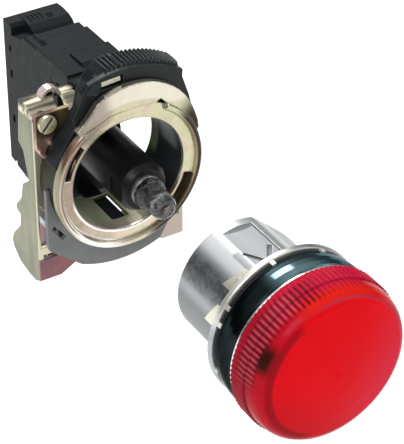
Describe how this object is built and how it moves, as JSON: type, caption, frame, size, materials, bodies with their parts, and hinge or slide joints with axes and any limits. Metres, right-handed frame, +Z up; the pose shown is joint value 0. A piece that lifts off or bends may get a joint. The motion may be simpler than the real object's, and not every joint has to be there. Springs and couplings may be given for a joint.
{
  "type": "panel pilot light",
  "caption": "Panel pilot light with a red ribbed lens head on a metal barrel, and a separate metal fixing collar that holds a black lamp module with a lock lever.",
  "frame": {"origin": "on the pilot light's axis, in the plane of the collar's front lip, which bears on the back of the panel", "axes": "-Y toward the lens and the operator, +Y toward the lamp module behind the panel, +X to the operator's right, +Z up"},
  "size_m": [0.03, 0.1008, 0.0445],
  "materials": {
    "passivated_steel": "yellow zinc passivated sheet steel, satin",
    "grey_plate": "grey, fine satin",
    "dark_spring_steel": "bronze-dark passivation",
    "screw_yellow": "yellow passivated",
    "spring_tab": "pink passivated",
    "lever_black": "satin black",
    "catch_cream": "cream passivated",
    "module_black": "fine matte charcoal",
    "screw_steel": "zinc plated",
    "contact_brass": "plain",
    "carrier_black": "satin black",
    "clear_lamp": "clear epoxy",
    "lead_frame": "tinned copper",
    "die_cast_zinc": "satin die casting",
    "seal_rubber": "matte",
    "dark_chrome": "dark glossy plating",
    "bright_metal": "bright",
    "reflector_white": "matte white",
    "lens_red": "translucent red, fine ribs at the rim"
  },
  "bodies": {
    "collar": {"collar_ring": "passivated_steel", "collar_plate": "grey_plate", "bracket": "passivated_steel", "clamp_tongue": "dark_spring_steel", "spring_tab": "spring_tab", "module_housing": "module_black", "terminal_cover": "module_black", "cover_latch": "module_black", "terminal_clamps": "screw_steel", "contact_blades": "contact_brass", "lamp_carrier": "carrier_black", "carrier_collar": "carrier_black", "lamp_socket": "screw_steel", "led_lamp": "clear_lamp", "led_frame": "lead_frame"},
    "collar_screw": {"clamp_screw": "screw_yellow"},
    "lever": {"lock_lever": "lever_black", "lever_catch": "catch_cream"},
    "screw_upper": {"terminal_screw_upper": "screw_steel"},
    "screw_lower": {"terminal_screw_lower": "screw_steel"},
    "head": {"head_barrel": "die_cast_zinc", "seal_gasket": "seal_rubber", "gasket_claws": "bright_metal", "bezel": "dark_chrome", "trim_ring": "bright_metal", "reflector": "reflector_white"},
    "lens_cap": {"lens": "lens_red"}
  },
  "joints": [
    {"name": "head_slide", "type": "slide", "parent": "collar", "child": "head", "axis": [0, 1, 0], "range_m": [0, 0.045]},
    {"name": "lens_turn", "type": "hinge", "parent": "head", "child": "lens_cap", "pos_m": [0, -0.0546, 0], "axis": [0, -1, 0], "range_deg": [0, 720]},
    {"name": "lever_turn", "type": "hinge", "parent": "collar", "child": "lever", "pos_m": [0, 0, 0], "axis": [0, 1, 0], "range_deg": [0, 25]},
    {"name": "collar_screw_turn", "type": "hinge", "parent": "collar", "child": "collar_screw", "pos_m": [-0.01295, 0.006, 0.0117], "axis": [0, -1, 0], "range_deg": [0, 1080]},
    {"name": "terminal_upper_turn", "type": "hinge", "parent": "collar", "child": "screw_upper", "pos_m": [0, 0.0354, 0.0064], "axis": [0, 1, 0], "range_deg": [0, 1080]},
    {"name": "terminal_lower_turn", "type": "hinge", "parent": "collar", "child": "screw_lower", "pos_m": [0, 0.0354, -0.0086], "axis": [0, 1, 0], "range_deg": [0, 1080]}
  ]
}
